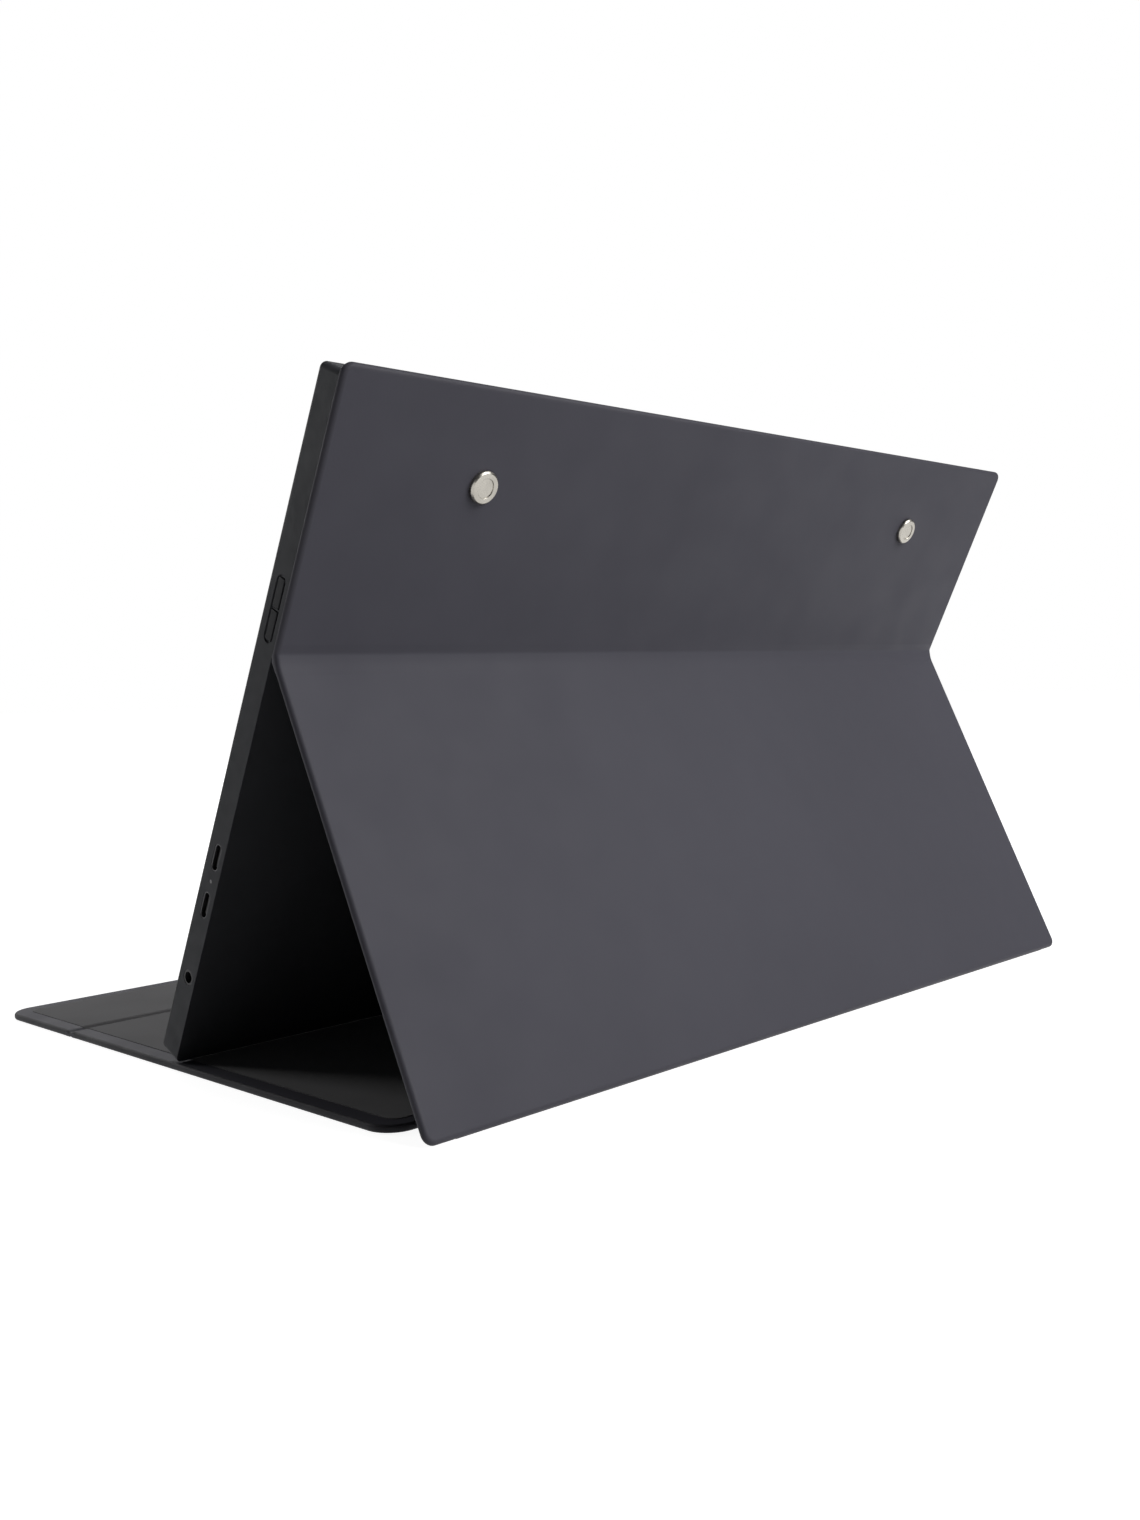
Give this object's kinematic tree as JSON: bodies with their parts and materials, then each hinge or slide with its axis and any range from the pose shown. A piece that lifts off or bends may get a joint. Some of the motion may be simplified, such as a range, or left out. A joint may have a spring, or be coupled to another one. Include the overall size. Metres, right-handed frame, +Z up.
{
  "type": "portable monitor with folding cover",
  "caption": "Thin portable monitor in a folding leather-like cover whose lower back panel swings out as an easel leg over a flap on the table.",
  "frame": {"origin": "on the table, under the cover's flap, below the middle of the monitor's lower rear edge", "axes": "+X along the monitor's width towards the side with the keys and sockets, +Y towards the back of the screen, +Z up"},
  "size_m": [0.357, 0.2369, 0.2076],
  "materials": {
    "housing": "fine matte",
    "key_plastic": "matte",
    "glass_black": "anti-glare screen",
    "clear_plastic": "clear",
    "white_film": "white diffuse",
    "sheet_metal": "rolled",
    "circuit_board": "solder mask",
    "flex_film": "satin",
    "chip_black": "matte",
    "steel": "satin nickel",
    "brass": "machined",
    "wire": "smooth",
    "leather": "smooth synthetic leather",
    "lining": "microfibre",
    "board_core": "pressed board"
  },
  "bodies": {
    "monitor": {"rear_housing": "housing", "front_bezel": "housing", "lcd_cell": "glass_black", "optical_films": "white_film", "light_guide": "clear_plastic", "reflector_sheet": "white_film", "led_bar": "flex_film", "panel_tray": "sheet_metal", "timing_board": "circuit_board", "panel_flex": "flex_film", "display_cable": "white_film", "main_board": "circuit_board", "board_chips": "chip_black", "usb_socket_high": "steel", "usb_socket_low": "steel", "usb_tongues": "chip_black", "audio_jack": "chip_black", "status_light": "clear_plastic", "key_board": "circuit_board", "key_switches": "steel", "key_cable": "white_film", "speaker_left": "chip_black", "speaker_right": "chip_black", "speaker_wires": "wire", "housing_magnets": "steel", "tray_screws": "steel", "board_screws": "steel", "stud_inserts": "brass", "cover_studs": "steel", "cover_eyelets": "steel", "upper_skin": "leather", "upper_board": "board_core", "upper_lining": "lining"},
    "power_key": {"power_key": "key_plastic"},
    "menu_rocker": {"menu_rocker": "key_plastic"},
    "leg": {"fold_roll": "leather", "leg_skin": "leather", "leg_board": "board_core", "leg_lining": "lining", "leg_magnets": "steel"},
    "spine": {"heel_roll": "leather", "spine_skin": "leather", "spine_stiffener": "board_core"},
    "rear_flap": {"flap_roll": "leather", "rear_flap_skin": "leather", "rear_flap_board": "board_core", "rear_flap_lining": "lining"},
    "front_flap": {"crease_roll": "leather", "front_flap_skin": "leather", "front_flap_board": "board_core", "front_flap_lining": "lining", "flap_magnets": "steel"}
  },
  "joints": [
    {"name": "leg_fold", "type": "hinge", "parent": "monitor", "child": "leg", "pos_m": [0, 0.06001, 0.12811], "axis": [1, 0, 0], "range_deg": [-50.4, 0]},
    {"name": "heel_fold", "type": "hinge", "parent": "leg", "child": "spine", "pos_m": [0, 0.12032, 0.0011], "axis": [1, 0, 0], "range_deg": [0, 25.2]},
    {"name": "flap_swing", "type": "hinge", "parent": "spine", "child": "rear_flap", "pos_m": [0, 0.10652, 0.0011], "axis": [1, 0, 0], "range_deg": [0, 110]},
    {"name": "crease_fold", "type": "hinge", "parent": "rear_flap", "child": "front_flap", "pos_m": [0, -0.06748, 0.0011], "axis": [1, 0, 0], "range_deg": [-120, 90]},
    {"name": "power_press", "type": "slide", "parent": "monitor", "child": "power_key", "axis": [-1, 0, 0], "range_m": [0, 0.00035], "stiffness_N_per_m": 300},
    {"name": "rocker_tip", "type": "hinge", "parent": "monitor", "child": "menu_rocker", "pos_m": [0.17605, 0.0588, 0.13772], "axis": [0, 0.9063, -0.4226], "range_deg": [-2.4, 2.4], "stiffness_Nm_per_rad": 0.02}
  ],
  "couplings": [
    {"joint": "heel_fold", "follows": "leg_fold", "ratio": -0.5}
  ]
}
